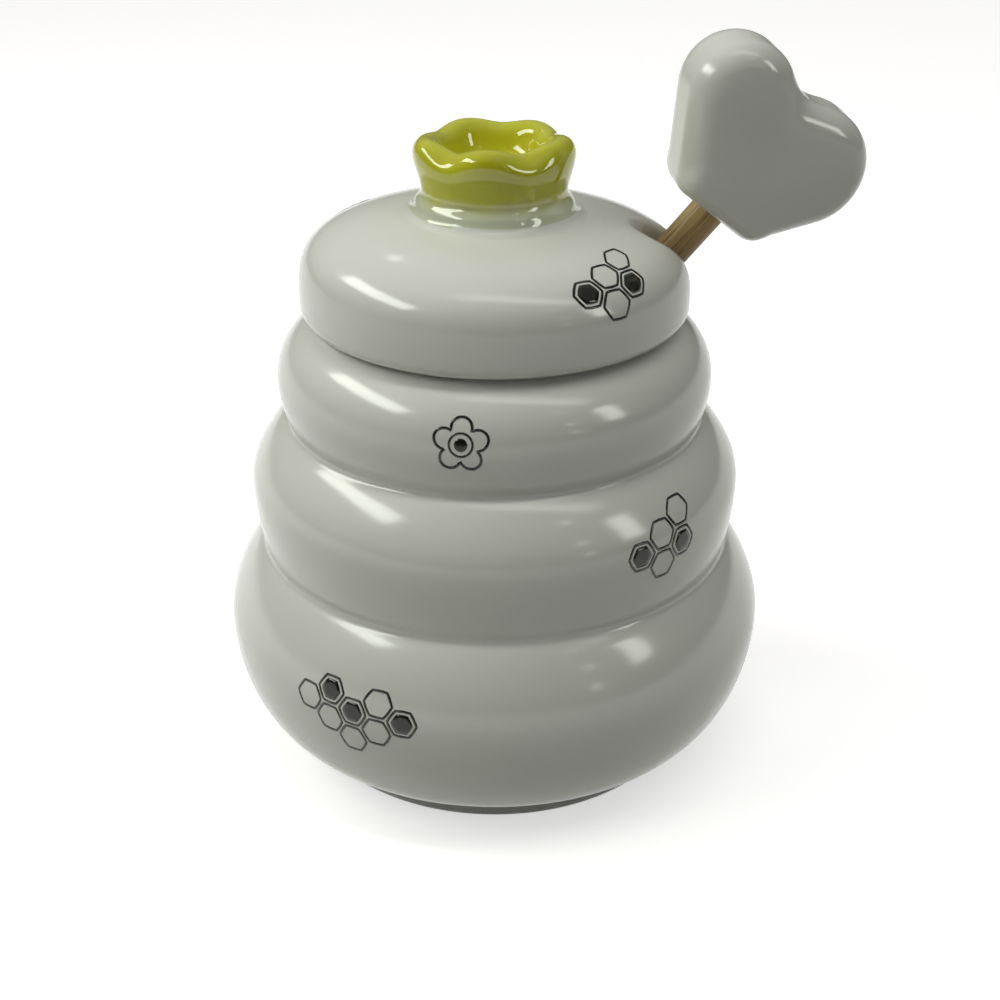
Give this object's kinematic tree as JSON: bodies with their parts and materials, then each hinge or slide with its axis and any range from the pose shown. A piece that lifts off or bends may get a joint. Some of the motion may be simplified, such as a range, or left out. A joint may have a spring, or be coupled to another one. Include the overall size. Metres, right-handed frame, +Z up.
{
  "type": "honey pot with lid and dipper",
  "caption": "Beehive-shaped glazed ceramic honey pot with a loose notched lid, a flower knob and a wooden dipper with a heart-shaped handle.",
  "frame": {"origin": "centre of the pot's flat underside", "axes": "+Z up along the pot's axis; +X towards the side on which the dipper leans out through the notch in the lid"},
  "size_m": [0.0899, 0.08, 0.1045],
  "materials": {
    "white_glaze": "gloss glaze",
    "yellow_glaze": "gloss glaze",
    "bamboo": "smooth, unvarnished",
    "turned_wood": "turned, unvarnished"
  },
  "bodies": {
    "pot": {"pot_body": "white_glaze"},
    "lid": {"lid": "white_glaze", "flower_knob": "yellow_glaze"},
    "dipper": {"dipper_heart": "white_glaze", "dipper_stick": "bamboo", "dipper_head": "turned_wood"}
  },
  "joints": [
    {"name": "lid_lift", "type": "slide", "parent": "pot", "child": "lid", "axis": [-0.3303, 0, 0.9439], "range_m": [0, 0.06]},
    {"name": "dipper_pull", "type": "slide", "parent": "pot", "child": "dipper", "axis": [0.6334, 0, 0.7738], "range_m": [0, 0.045]}
  ]
}
